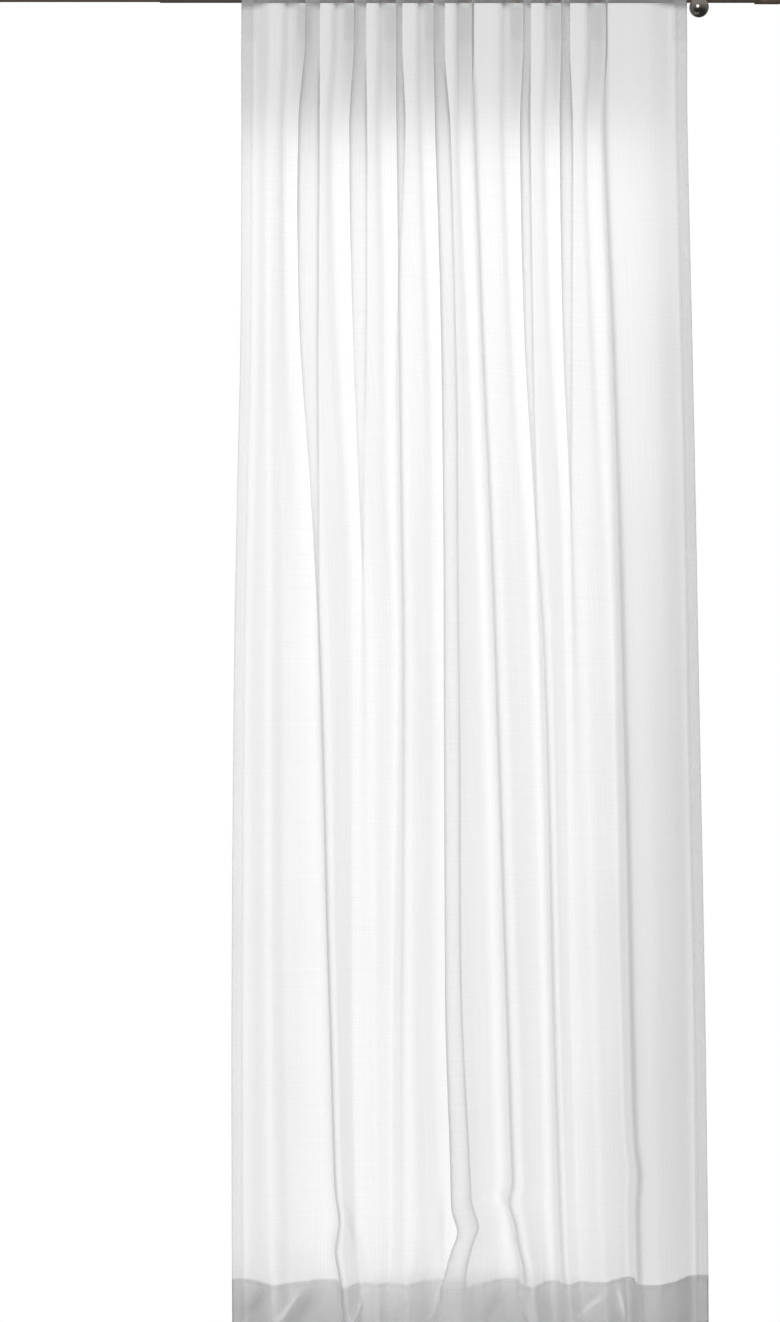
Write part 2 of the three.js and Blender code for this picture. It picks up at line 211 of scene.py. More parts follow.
# Soft ripples between the folds: lengths across and up the cloth, start and share of the ripple's height,
# and how far below the rod they set in and are full
RIPPLES = [
    (17.3, 310, 0.7, 0.5),
    (9.1, -230, 1.9, 0.3),
    (31.7, 140, 4.1, 0.6),
    (6.3, 420, 2.2, 0.16),
]
RIPPLE_TOP = 60
RIPPLE_GROWTH = 700

# Puckers along a seam: short, drifting and long waves, the long one's share, their reach and the heights
# over which they set in below the tabs
SIDE_PUCKER = (6.1, 41, 13.7)
HEM_PUCKER = (5.3, 37, 11.9)
LONG_PUCKER = 0.6
PUCKER_REACH = 16
PUCKER_FADE = (-40, -120)

# Steps round a turned piece and round a ball
ROUND_STEPS = 64
BALL_STEPS = 72

# Seams, in metres: how far inside a hem's edge they run, and where they stop short of the cloth's edges.
# The pitch is in stitches, and a stitch stands this share of its thread off the cloth
SEAM_INSET = 0.002
SEAM_ENDS_DOWN = 0.004
SEAM_ENDS_ACROSS = 0.003
STITCH_PITCH = 1.35
STITCH_LIFT = 0.3

# Soft boxes behind the cloth, one below the other, in metres and watts: from the first to the last, their
# right ends draw in and their power falls
BACK_LIGHT = {
    "boxes": 6, "top": -0.255, "height": 0.345, "left": -0.43, "right": (0.34, 0.24), "depth": -0.01,
    "power": (0.98, 0.59), "spread": 140}
FRONT_LIGHT = {
    "place": (-1.0, -3.8, -0.2), "target": (0, -0.1, -1.4), "size": (1.6, 1.6), "power": 26, "spread": 120}


def length_setting(name, description, default):
    return FloatProperty(name=name, description=description, default=default, unit="LENGTH")


def colour_setting(name, description, default):
    return FloatVectorProperty(
        name=name, description=description, default=default, subtype="COLOR", size=3)


class PanelSizes(bpy.types.PropertyGroup):
    """The cloth's finished size, its hems and how finely it is modelled"""

    flat_width: length_setting("Flat width", "Finished width of the cloth before it is gathered", 1.4)
    heading_top: length_setting("Heading top", "Top edge of the cloth above the rod's axis", 0.025)
    hem_bottom: length_setting("Hem", "Bottom edge of the cloth below the rod's axis", -2.43)
    side_hem: length_setting("Side hem", "Width of the hem down each side", 0.02)
    bottom_hem: length_setting("Bottom hem", "Height of the hem along the bottom", 0.095)
    hem_gap: length_setting("Hem gap", "Space between the cloth and its turned hem", 0.0009)
    columns: IntProperty(name="Columns", description="Points across the cloth", default=500)
    rows: IntProperty(name="Rows", description="Points down the cloth", default=172)
    ripple: length_setting("Ripple", "Height of the soft unevenness between folds", 0.0009)
    pucker: length_setting("Pucker", "Height of the waves along the sewn hems", 0.0009)
    stitch: length_setting("Stitch", "Length of one stitch", 0.0032)
    thread: length_setting("Thread", "Thickness of the sewing thread", 0.00045)


class FinishColours(bpy.types.PropertyGroup):
    """Colours of the cloth, the rod and the brackets"""

    voile: colour_setting("Voile", "Colour of the cloth", (0.935, 0.935, 0.94))
    cover: FloatProperty(
        name="Cover", description="Share of the light that one layer of cloth stops",
        default=0.39, subtype="FACTOR")
    thread: colour_setting("Thread", "Colour of the sewing thread", (0.9, 0.905, 0.91))
    rod: colour_setting("Rod", "Brown of the outer tube", (0.34, 0.265, 0.205))
    inner_rod: colour_setting("Inner rod", "Paler brown of the inner tube", (0.41, 0.33, 0.27))
    bracket: colour_setting("Bracket", "Dark bronze of the brackets", (0.42, 0.38, 0.345))


class StageSettings(bpy.types.PropertyGroup):
    """Camera, lights and floor"""

    camera_distance: length_setting("Camera distance", "From the camera to the plates' plane", 4.29)
    camera_height: length_setting("Camera height", "Height against the rod's axis", -1.476)
    camera_pitch: FloatProperty(
        name="Camera pitch", description="Upward tilt", default=math.radians(3.4), subtype="ANGLE")
    focal_length: FloatProperty(
        name="Focal length", description="Lens for a 36 mm long side, in millimetres", default=63.18)
    floor_gap: length_setting("Floor gap", "Space under the hem", 0.012)


class Value:
    """A number's socket in a node tree: arithmetic on it adds Math nodes."""

    def __init__(self, tree, socket):
        self.tree = tree
        self.socket = socket

    def maths(self, operation, first, *rest):
        node = self.tree.nodes.new("ShaderNodeMath")
        node.operation = operation
        for entry, operand in zip(node.inputs, (first, *rest)):
            if isinstance(operand, Value):
                self.tree.links.new(operand.socket, entry)
            else:
                entry.default_value = operand
        return Value(self.tree, node.outputs[0])

    def __add__(self, other):
        return self.maths("ADD", self, other)

    __radd__ = __add__

    def __sub__(self, other):
        return self.maths("SUBTRACT", self, other)

    def __rsub__(self, other):
        return self.maths("SUBTRACT", other, self)

    def __mul__(self, other):
        return self.maths("MULTIPLY", self, other)

    __rmul__ = __mul__

    def __pow__(self, other):
        return self.maths("POWER", self, other)


class Finish:
    """A material's or world's nodes, with one method for every node that isn't plain arithmetic."""

    def __init__(self, owner):
        owner.use_nodes = True
        self.owner = owner
        self.tree = owner.node_tree
        self.tree.nodes.clear()

    def node(self, kind, settings=None, sockets=None):
        node = self.tree.nodes.new(kind)
        for key, setting in (settings or {}).items():
            if key == "stops":
                for stop, (place, grey) in zip(node.color_ramp.elements, setting):
                    stop.position = place
                    stop.color = (grey, grey, grey, 1)
            else:
                setattr(node, key, setting)
        for key, entry in (sockets or {}).items():
            socket = node.inputs[key]
            if isinstance(entry, Value):
                self.tree.links.new(entry.socket, socket)
            elif isinstance(entry, bpy.types.NodeSocket):
                self.tree.links.new(entry, socket)
            else:
                socket.default_value = entry
        return node

    def value(self, node, output=0):
        return Value(self.tree, node.outputs[output])

    def noise(self, coordinates, scale, detail=2.0):
        stretched = self.node(
            "ShaderNodeMapping", sockets={"Vector": coordinates, "Scale": scale}).outputs[0]
        node = self.node(
            "ShaderNodeTexNoise", sockets={"Vector": stretched, "Scale": 1.0, "Detail": detail})
        return self.value(node)

    def close(self, shader, output="ShaderNodeOutputMaterial"):
        self.node(output, sockets={"Surface": shader})
        return self.owner


def colours():
    return bpy.context.scene.curtain_finish


def opaque_colour(rgb):
    return (*rgb, 1)


def voile_finish(name):
    """Sheer plain weave: slubs in both directions, denser where cloth lies in several plies, with painted
    shade as extra plies and less glow.
    """
    finish = Finish(bpy.data.materials.new(name))
    plane = finish.node("ShaderNodeUVMap", {"uv_map": "weave"}).outputs[0]
    warp = finish.noise(plane, (700, 5, 1))
    weft = finish.noise(plane, (4, 620, 1))
    cloudy = finish.noise(plane, (5, 3, 1))
    threads = [
        finish.node(
            "ShaderNodeTexWave", {"wave_type": "BANDS", "bands_direction": axis},
            {"Vector": plane, "Scale": 220.0, "Distortion": 0.6})
        for axis in "XY"]
    weave = finish.value(threads[0], 1) + finish.value(threads[1], 1)
    warp_slubs, weft_slubs, clouds, thread_cover = 0.13, 0.075, 0.06, 0.03
    slubs = (warp - 0.5) * warp_slubs + (weft - 0.5) * weft_slubs + (cloudy - 0.5) * clouds
    one_ply = slubs + weave * thread_cover + (colours().cover - thread_cover)
    # plies also carries painted shade: extra cover on the folds' lines, in crease troughs and down the
    # heading's recesses
    plies = finish.value(finish.node("ShaderNodeAttribute", {"attribute_name": "plies"}), 2)
    cover = 1 - (1 - one_ply) ** plies
    relief = finish.node(
        "ShaderNodeBump", sockets={"Height": weave + warp + weft, "Strength": 0.25, "Distance": 0.0003})
    rgb = opaque_colour(colours().voile)
    face = finish.node("ShaderNodeBsdfPrincipled", sockets={
        "Base Color": rgb, "Roughness": 0.88, "Specular IOR Level": 0.2,
        "Sheen Weight": 0.15, "Sheen Roughness": 0.5, "Normal": relief.outputs[0]})
    glow = finish.node("ShaderNodeBsdfTranslucent", sockets={"Color": rgb})
    # painted_shading moves the mix from glow to the lit face: painted shade on the folds' lines and in crease
    # troughs, painted light on crease ridges
    painted_shading = finish.value(finish.node("ShaderNodeAttribute", {"attribute_name": "painted_shading"}), 2)
    free_glow, glow_lost = 0.6, 0.42
    cloth = finish.node("ShaderNodeMixShader", sockets={
        "Fac": free_glow - glow_lost * painted_shading, 1: face.outputs[0], 2: glow.outputs[0]})
    clear = finish.node("ShaderNodeBsdfTransparent")
    sheer = finish.node("ShaderNodeMixShader", sockets={
        "Fac": cover, 1: clear.outputs[0], 2: cloth.outputs[0]})
    return finish.close(sheer.outputs[0])


def thread_finish(name):
    """Sewing thread: white, with its fine twist."""
    finish = Finish(bpy.data.materials.new(name))
    place = finish.node("ShaderNodeTexCoord").outputs["Object"]
    twist = finish.noise(place, (2500, 2500, 2500))
    rgb = colours().thread
    darker = 0.86
    tone = finish.node(
        "ShaderNodeMix", {"data_type": "RGBA"},
        {"Factor": twist, 6: opaque_colour([c * darker for c in rgb]), 7: opaque_colour(rgb)})
    shader = finish.node("ShaderNodeBsdfPrincipled", sockets={
        "Base Color": tone.outputs[2], "Roughness": 0.7, "Sheen Weight": 0.2})
    return finish.close(shader.outputs[0])


def painted_finish(name, rgb, roughness, metallic, paler):
    """Satin paint on metal: fine grain in tone and gloss, faint brush lines along the piece."""
    finish = Finish(bpy.data.materials.new(name))
    place = finish.node("ShaderNodeTexCoord").outputs["Object"]
    grain = finish.noise(place, (900, 900, 900), 3)
    drawn = finish.noise(place, (14, 420, 420), 3)
    mottle = finish.noise(place, (30, 60, 60), 3)
    grain_tone, drawn_tone, mottle_tone, darker = 0.25, 0.4, 0.35, 0.8
    grain_gloss, drawn_gloss = 0.08, 0.14
    middle_gloss = (grain_gloss + drawn_gloss) / 2
    tone = finish.node(
        "ShaderNodeMix", {"data_type": "RGBA"},
        {"Factor": grain * grain_tone + drawn * drawn_tone + mottle * mottle_tone,
         6: opaque_colour([c * darker for c in rgb]), 7: opaque_colour([min(c * paler, 1) for c in rgb])})
    relief = finish.node(
        "ShaderNodeBump", sockets={"Height": grain + drawn, "Strength": 0.12, "Distance": 0.0002})
    shader = finish.node("ShaderNodeBsdfPrincipled", sockets={
        "Base Color": tone.outputs[2], "Metallic": metallic, "Normal": relief.outputs[0],
        "Roughness": drawn * drawn_gloss + grain * grain_gloss + (roughness - middle_gloss)})
    return finish.close(shader.outputs[0])


def finish_of(slot):
    """The material of a slot, made when it is first asked for."""
    name = "finished_" + slot
    made = bpy.data.materials.get(name)
    if made:
        return made
    if slot == "voile":
        return voile_finish(name)
    if slot == "thread":
        return thread_finish(name)
    if slot == "rod_brown":
        return painted_finish(name, colours().rod, roughness=0.42, metallic=0.35, paler=1.2)
    if slot == "rod_taupe":
        return painted_finish(name, colours().inner_rod, roughness=0.45, metallic=0.3, paler=1.15)
    return painted_finish(name, colours().bracket, roughness=0.2, metallic=1.0, paler=1.3)


def mesh_of(bm, name):
    mesh = bpy.data.meshes.new(name)
    bm.to_mesh(mesh)
    bm.free()
    return mesh


def add_piece(name, mesh, slot, nodes=(), material=None):
    """Puts a finished mesh in the scene as a piece on the body, in place of its CAD nodes."""
    piece = bpy.data.objects.new(name, mesh)
    bpy.context.scene.collection.objects.link(piece)
    mesh.materials.append(material or finish_of(slot))
    mesh.shade_smooth()
    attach(piece, BODY)
    if nodes:
        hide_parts(*nodes)
    return piece


def at_heights(table, heights):
    """Smooth values of a table's row at many heights, held still past its first and last level."""
    table = np.array(table, float)
    z = np.clip(heights, LEVELS[-1], LEVELS[0])
    i = np.clip(np.searchsorted(-LEVELS, -z, side="right") - 1, 0, len(LEVELS) - 2)
    slopes = np.zeros(len(LEVELS))
    slopes[1:-1] = (table[2:] - table[:-2]) / (LEVELS[2:] - LEVELS[:-2])
    slopes[-1] = (table[-1] - table[-2]) / (LEVELS[-1] - LEVELS[-2])
    span = LEVELS[i + 1] - LEVELS[i]
    t = (z - LEVELS[i]) / span
    ease = t * t * (3 - 2 * t)
    bend = span * t * (1 - t) * ((1 - t) * slopes[i] - t * slopes[i + 1])
    return table[i] * (1 - ease) + table[i + 1] * ease + bend


def smooth_share(low, high, value):
    t = np.clip((value - low) / (high - low), 0, 1)
    return t * t * (3 - 2 * t)


def kink_shift(fold, heights):
    """How far a fold's edge is pushed along the rod at each height by its kinks."""
    shift = np.zeros_like(heights)
    for kinked, height, push, spread in KINKS:
        if kinked == fold:
            shift += push * np.exp(-(((heights - height) / spread) ** 2))
    return shift


def fold_points(heights):
    """Points that the cloth passes through at each height: along the rod, forward share, hem rise."""
    def at(table):
        return at_heights(table, heights)

    left_x = at(LEFT_EDGE["x"])
    right_x = at(RIGHT_EDGE["x"])
    block = at(BLOCK_START)
    flat_share = np.full_like(left_x, EDGE_START)
    folds = []
    for fold in FOLDS:
        edge = at(fold["edge"]) + kink_shift(len(folds), heights)
        turn = edge + at(fold["overlap"])
        half = at(fold["strength"]) / 2
        folds.append((edge, turn, np.minimum(edge, turn), 0.5 - half, 0.5 + half, fold["rise"]))

    start = left_x + EDGE_FLAT
    first_left = folds[0][2]
    points = [
        (left_x, flat_share, LEFT_EDGE["rise"]),
        (start, flat_share, LEFT_EDGE["rise"]),
        (start + BLOCK_CREST * (first_left - start), block, LEFT_EDGE["rise"]),
    ]
    forward = block
    for i, (edge, turn, left, rear, front, rise) in enumerate(folds):
        reach = front - rear
        hollow = left - at(RECESS_SHARE) * (left - start)
        slope = hollow - at(SLOPE_SHARE) * (left - start)
        next_left = folds[i + 1][2] if i + 1 < len(folds) else right_x
        points += [
            (slope, rear + (forward - rear) * at(SLOPE_START), rise),
            (hollow, rear + HOLLOW_START * reach, rise),
            ((hollow + turn) / 2, rear, rise),
            (turn, rear + TURN_START * reach, rise),
            (edge, front - TURN_START * reach, rise),
            (edge + at(CREST_SHARE) * (next_left - edge), front, rise),
        ]
        start = edge
        forward = front
    points += [
        ((start + right_x) / 2, block, RIGHT_EDGE["rise"]),
        (right_x - EDGE_FLAT, flat_share, RIGHT_EDGE["rise"]),
        (right_x, flat_share, RIGHT_EDGE["rise"]),
    ]
    return points


def through_points(points, steps):
    """Centripetal curve through points of shape (rows, count, 3), a few steps between each two."""
    before = 2 * points[:, :1] - points[:, 1:2]
    after = 2 * points[:, -1:] - points[:, -2:-1]
    p = np.concatenate([before, points, after], axis=1)
    gaps = np.maximum(np.linalg.norm(np.diff(p, axis=1), axis=2, keepdims=True), TINY) ** 0.5
    d0, d1, d2 = gaps[:, :-2], gaps[:, 1:-1], gaps[:, 2:]
    p0, p1, p2, p3 = p[:, :-3], p[:, 1:-2], p[:, 2:-1], p[:, 3:]
    m1 = ((p1 - p0) / d0 - (p2 - p0) / (d0 + d1) + (p2 - p1) / d1) * d1
    m2 = ((p2 - p1) / d1 - (p3 - p1) / (d1 + d2) + (p3 - p2) / d2) * d1
    pieces = []
    for step in range(steps):
        t = step / steps
        pieces.append(
            (2 * t**3 - 3 * t**2 + 1) * p1 + (t**3 - 2 * t**2 + t) * m1
            + (3 * t**2 - 2 * t**3) * p2 + (t**3 - t**2) * m2)
    line = np.stack(pieces, axis=2).reshape(points.shape[0], -1, 3)
    return np.concatenate([line, points[:, -1:]], axis=1)


def fold_point(fold, point):
    """Place of one of a fold's points along the curves through all points."""
    return (POINTS_BEFORE_FOLDS + fold * POINTS_PER_FOLD + point) * CURVE_STEPS


def running_length(lines):
    steps = np.linalg.norm(np.diff(lines, axis=1), axis=2)
    return np.concatenate([np.zeros((len(lines), 1)), np.cumsum(steps, axis=1)], axis=1)


def hung_lines(heights, flat_width):
    """The cloth's line at each height, with folds just deep enough to take up its flat width."""
    points = fold_points(heights)
    back = at_heights(BACK_LINE, heights)
    drawn_up = 1 - smooth_share(LEVELS[-1], LEVELS[-2], heights)
    x = np.stack([p[0] for p in points], axis=1)
    share = np.stack([p[1] for p in points], axis=1)
    rise = np.array([p[2] for p in points], float)
    z = heights[:, None] + rise[None, :] * drawn_up[:, None]

    def lines(depth):
        return through_points(np.stack([x, back[:, None] - share * depth[:, None], z], axis=2), CURVE_STEPS)

    shallow = np.zeros(len(heights))
    deep = np.full(len(heights), DEEPEST_FOLD)
    for _ in range(DEPTH_ROUNDS):
        middle = (shallow + deep) / 2
        short = running_length(lines(middle))[:, -1] < flat_width
        shallow = np.where(short, middle, shallow)
        deep = np.where(short, deep, middle)
    return lines(deep)


def crease_shares(grid):
    """Height and painted shading (shade in troughs, light on ridges) of the listed creases at the cloth's
    points.
    """
    x = grid[..., 0]
    z = grid[..., 2]
    height = np.zeros(x.shape)
    painted_shading = np.zeros(x.shape)
    for first, last, width, ridge in CREASES:
        start = np.array(first, float)
        run = np.array(last, float) - start
        t = np.clip(((x - start[0]) * run[0] + (z - start[1]) * run[1]) / (run @ run), 0, 1)
        away = np.hypot(x - start[0] - t * run[0], z - start[1] - t * run[1])
        fade = np.sin(math.pi * (CREASE_ENDS + (1 - 2 * CREASE_ENDS) * t))
        height += ridge * fade * np.exp(-((away / width) ** 2))
        reach = width * CREASE_REACH
        painted_shading -= math.copysign(CREASE_SHADING, ridge) * fade * np.exp(-((away / reach) ** 2))
    return height, painted_shading


def row_heights(sizes):
    """Heights of the rows, closer together in the heading and near the hem."""
    t = np.linspace(0, 1, sizes.rows)
    eased = t - ROW_EASE * np.sin(2 * math.pi * t)
    return (sizes.heading_top + (sizes.hem_bottom - sizes.heading_top) * eased) / MM


class ClothSurface:
    """The hung cloth as a grid of points and facings, with turned hems as further rows and columns."""

    def __init__(self, sizes):
        self.sizes = sizes
        width = sizes.flat_width / MM
        self.heights = row_heights(sizes)
        self.across = np.linspace(0, width, sizes.columns)
        lines = hung_lines(self.heights, width)
        lengths = running_length(lines)
        rows = []
        for line, length in zip(lines, lengths):
            place = self.across * (length[-1] / width)
            rows.append(np.stack([np.interp(place, length, line[:, k]) for k in range(3)], axis=1))
        grid = np.array(rows)
        flat_lengths = lengths * (width / lengths[:, -1:])
        self.line = self.fold_lines(flat_lengths)
        self.hidden = self.hidden_layers(flat_lengths)
        # gathered: cloth bunched at the tabs, and painted shade down the recesses below them
        self.gathered = self.bunching_and_shade(flat_lengths)
        self.facing = self.facings(grid)
        height, painted_shading = crease_shares(grid)
        above = self.heights - (sizes.hem_bottom + sizes.bottom_hem) / MM
        above_hem = smooth_share(*HEM_BLEND, above)[:, None]
        # Painted shading of the creases: in the hem, which isn't lit from behind, its sign turns so troughs
        # stay darker and ridges lighter; it also goes into the lines' cover
        self.painted_shading = np.clip(self.line + painted_shading * (2 * above_hem - 1), -CREASE_SHADING, MOST_SHADING)
        self.line = np.clip(self.line + painted_shading, -CREASE_SHADING, MOST_SHADING)
        grid = grid + self.facing * (height + self.unevenness())[..., None]
        self.grid = grid * MM
        self.facing = self.facings(grid)

    def fold_lines(self, lengths):
        """Share of each point on the lines of the folds' front edges and back turns: denser cloth on edge,
        and painted shade.
        """
        share = np.zeros((len(self.heights), len(self.across)))
        for i, fold in enumerate(FOLDS):
            for point, side in ((EDGE_POINT, "front"), (TURN_POINT, "back")):
                strength = at_heights(fold[side], self.heights)[:, None]
                away = self.across[None, :] - lengths[:, fold_point(i, point)][:, None]
                share = np.maximum(share, strength * np.exp(-((away / LINE_REACH) ** 2)))
        return share

    def hidden_layers(self, lengths):
        """Share of cover lost by the two layers that lie behind a fold's front."""
        share = np.zeros((len(self.heights), len(self.across)))
        lost = 1 - at_heights(HIDDEN_PLY, self.heights)[:, None]
        for i, fold in enumerate(FOLDS):
            overlap = at_heights(fold["overlap"], self.heights)[:, None]
            turn = lengths[:, fold_point(i, TURN_POINT)][:, None]
            edge = lengths[:, fold_point(i, EDGE_POINT)][:, None]
            inside = smooth_share(*HIDDEN_START, self.across - turn + overlap)
            inside = inside * smooth_share(*HIDDEN_END, edge - self.across)
            inside = inside * smooth_share(*HIDDEN_OVERLAP, overlap)
            share = np.maximum(share, lost * inside)
        return share

    def bunching_and_shade(self, lengths):
        """Cover added where the heading is bunched at its tabs, with painted shade fading down the recesses.
        """
        share = np.zeros((len(self.heights), len(self.across)))
        for i in range(len(FOLDS)):
            seat = lengths[:, fold_point(i, SEAT_POINT)][:, None]
            share = np.maximum(share, np.exp(-(((self.across - seat) / GATHER_SHADE_REACH) ** 2)))
        return share * smooth_share(*GATHER_SHADE_FADE, self.heights)[:, None]

    @staticmethod
    def facings(grid):
        along = np.gradient(grid, axis=1)
        down = np.gradient(grid, axis=0)
        facing = np.cross(down, along)
        return facing / np.maximum(np.linalg.norm(facing, axis=2, keepdims=True), TINY)

    def unevenness(self):
        """Soft ripples between the folds and puckers along the hems."""
        s = self.sizes
        across = self.across[None, :]
        up = (self.heights - s.hem_bottom / MM)[:, None]
        grow = np.clip((-self.heights[:, None] - RIPPLE_TOP) / RIPPLE_GROWTH, 0, 1)
        ripple = sum(
            np.sin(across / wide + up / tall + start) * share for wide, tall, start, share in RIPPLES)
        from_side = np.minimum(across, s.flat_width / MM - across)
        near_side = np.exp(-((from_side / PUCKER_REACH) ** 2))
        near_hem = np.exp(-(((up - s.bottom_hem / MM) / PUCKER_REACH) ** 2))
        pucker = near_side * self.puckers(up, *SIDE_PUCKER) + near_hem * self.puckers(across, *HEM_PUCKER)
        below_tabs = smooth_share(*PUCKER_FADE, self.heights)[:, None]
        return ripple * (grow * s.ripple / MM) + pucker * s.pucker / MM * below_tabs

    @staticmethod
    def puckers(run, short, drift, long):
        return np.sin(run / short + np.sin(run / drift)) + LONG_PUCKER * np.sin(run / long)

    def point(self, across, height):
        """Point and facing at a place across the cloth and a height, in metres."""
        c = np.interp(across / MM, self.across, np.arange(len(self.across)))
        r = np.interp(-height / MM, -self.heights, np.arange(len(self.heights)))
        c0 = min(int(c), len(self.across) - 2)
        r0 = min(int(r), len(self.heights) - 2)
        fc, fr = c - c0, r - r0

        def blended(a):
            top = a[r0, c0] * (1 - fc) + a[r0, c0 + 1] * fc
            low = a[r0 + 1, c0] * (1 - fc) + a[r0 + 1, c0 + 1] * fc
            return top * (1 - fr) + low * fr

        return Vector(blended(self.grid)), Vector(blended(self.facing)).normalized()

    def with_hems(self):
        """Positions, plies, painted shading and weave places, with sides and bottom turned to the back."""
        s = self.sizes
        side = int(np.searchsorted(self.across, s.side_hem / MM))
        bottom = int(np.sum(self.heights < (s.hem_bottom + s.bottom_hem) / MM))
        last_c = len(self.across) - 1
        last_r = len(self.heights) - 1
        columns = (
            [(c, 1) for c in range(side, 0, -1)] + [(c, 0) for c in range(last_c + 1)]
            + [(last_c - c, 1) for c in range(1, side + 1)])
        rows = [(r, 0) for r in range(last_r + 1)] + [(last_r - r, 1) for r in range(1, bottom + 1)]
        ci = np.array([c for c, _ in columns])
        ri = np.array([r for r, _ in rows])
        column_turned = np.array([t for _, t in columns])[None, :]
        row_turned = np.array([t for _, t in rows])[:, None]
        turned = row_turned + column_turned
        position = self.grid[ri][:, ci] - self.facing[ri][:, ci] * (turned * s.hem_gap)[..., None]
        weave_u = np.broadcast_to(self.across[ci] * MM, position.shape[:2])
        weave_v = np.broadcast_to((self.heights[ri] * MM)[:, None], position.shape[:2])
        plies = self.cover(ri, ci, 1 + SIDE_HEM_PLIES * column_turned + BOTTOM_HEM_PLIES * row_turned)
        return position, plies, self.painted_shading[ri][:, ci], np.stack([weave_u, weave_v], axis=2)

    def cover(self, rows, columns, plies):
        """Plies at chosen rows and columns, with hidden layers, bunching and painted shade at the tabs, the
        heading's top and lines.
        """
        line = self.line[rows][:, columns]
        gathered = self.gathered[rows][:, columns]
        doubled = smooth_share(*HEADER_EDGE, self.heights[rows])[:, None]
        plies = plies * (1 - self.hidden[rows][:, columns] * (1 - np.clip(line, 0, 1)))
        # gathered adds bunched cloth and painted shade at the tabs
        plies = plies + HEADER_PLIES * doubled * (1 - gathered) + GATHER_SHADE_PLIES * gathered * (1 - doubled)
        plies = plies / np.clip(np.abs(self.facing[rows][:, columns, 1]), EDGE_ON, 1)
        return plies * (1 + LINE_PLIES * line)


def grid_mesh(name, position, plies, painted_shading, weave):
    """A mesh grid moved onto given positions, with its plies, painted shading and weave map."""
    rows, columns = position.shape[:2]
    bm = bmesh.new()
    bmesh.ops.create_grid(bm, x_segments=columns - 1, y_segments=rows - 1, size=1.0)
    mesh = mesh_of(bm, name)
    start = np.empty(len(mesh.vertices) * 3)
    mesh.vertices.foreach_get("co", start)
    start = start.reshape(-1, 3)
    column = np.rint((start[:, 0] + 1) / 2 * (columns - 1)).astype(int)
    row = np.rint((1 - start[:, 1]) / 2 * (rows - 1)).astype(int)
    mesh.vertices.foreach_set("co", position[row, column].ravel())
    for label, values in (("plies", plies), ("painted_shading", painted_shading)):
        mesh.attributes.new(label, "FLOAT", "POINT").data.foreach_set("value", values[row, column])
    corner = np.empty(len(mesh.loops), int)
    mesh.loops.foreach_get("vertex_index", corner)
    mesh.uv_layers.new(name="weave").data.foreach_set("uv", weave[row, column][corner].ravel())
    mesh.update()
    return mesh


def stitch_mesh(name, places, thread):
    """One joined mesh of short stitches. Each place is its middle, its run and the cloth's facing."""
    bm = bmesh.new()
    bmesh.ops.create_cone(bm, cap_ends=True, segments=6, radius1=0.5, radius2=0.5, depth=1.0)
    rims = [e for e in bm.edges if abs(e.verts[0].co.z - e.verts[1].co.z) < TINY]
    bmesh.ops.bevel(bm, geom=rims, offset=0.2, affect="EDGES", segments=1, profile=0.5, material=-1)
    one = mesh_of(bm, "one_stitch")
    shape = np.array([v.co for v in one.vertices])
    faces = [list(p.vertices) for p in one.polygons]
    bpy.data.meshes.remove(one)
    vertices = []
    polygons = []
    for middle, run, facing in places:
        across = run.cross(facing).normalized()
        base = len(vertices)
        for x, y, z in shape:
            vertices.append(middle + across * (x * thread) + facing * (y * thread) + run * z)
        polygons += [[base + i for i in face] for face in faces]
    mesh = bpy.data.meshes.new(name)
    mesh.from_pydata(vertices, [], polygons)
    mesh.update()
    return mesh


def stitch_line(surface, spots, length, thread):
    """Stitches along a row of spots on the cloth's front and back."""
    places = []
    for side in (1, -1):
        for a, b in spots:
            start, facing = surface.point(*a)
            end, _ = surface.point(*b)
            off = thread * STITCH_LIFT
            lift = facing * (off if side > 0 else -surface.sizes.hem_gap - off)
            places.append(((start + end) / 2 + lift, (end - start).normalized() * length, facing))
    return places


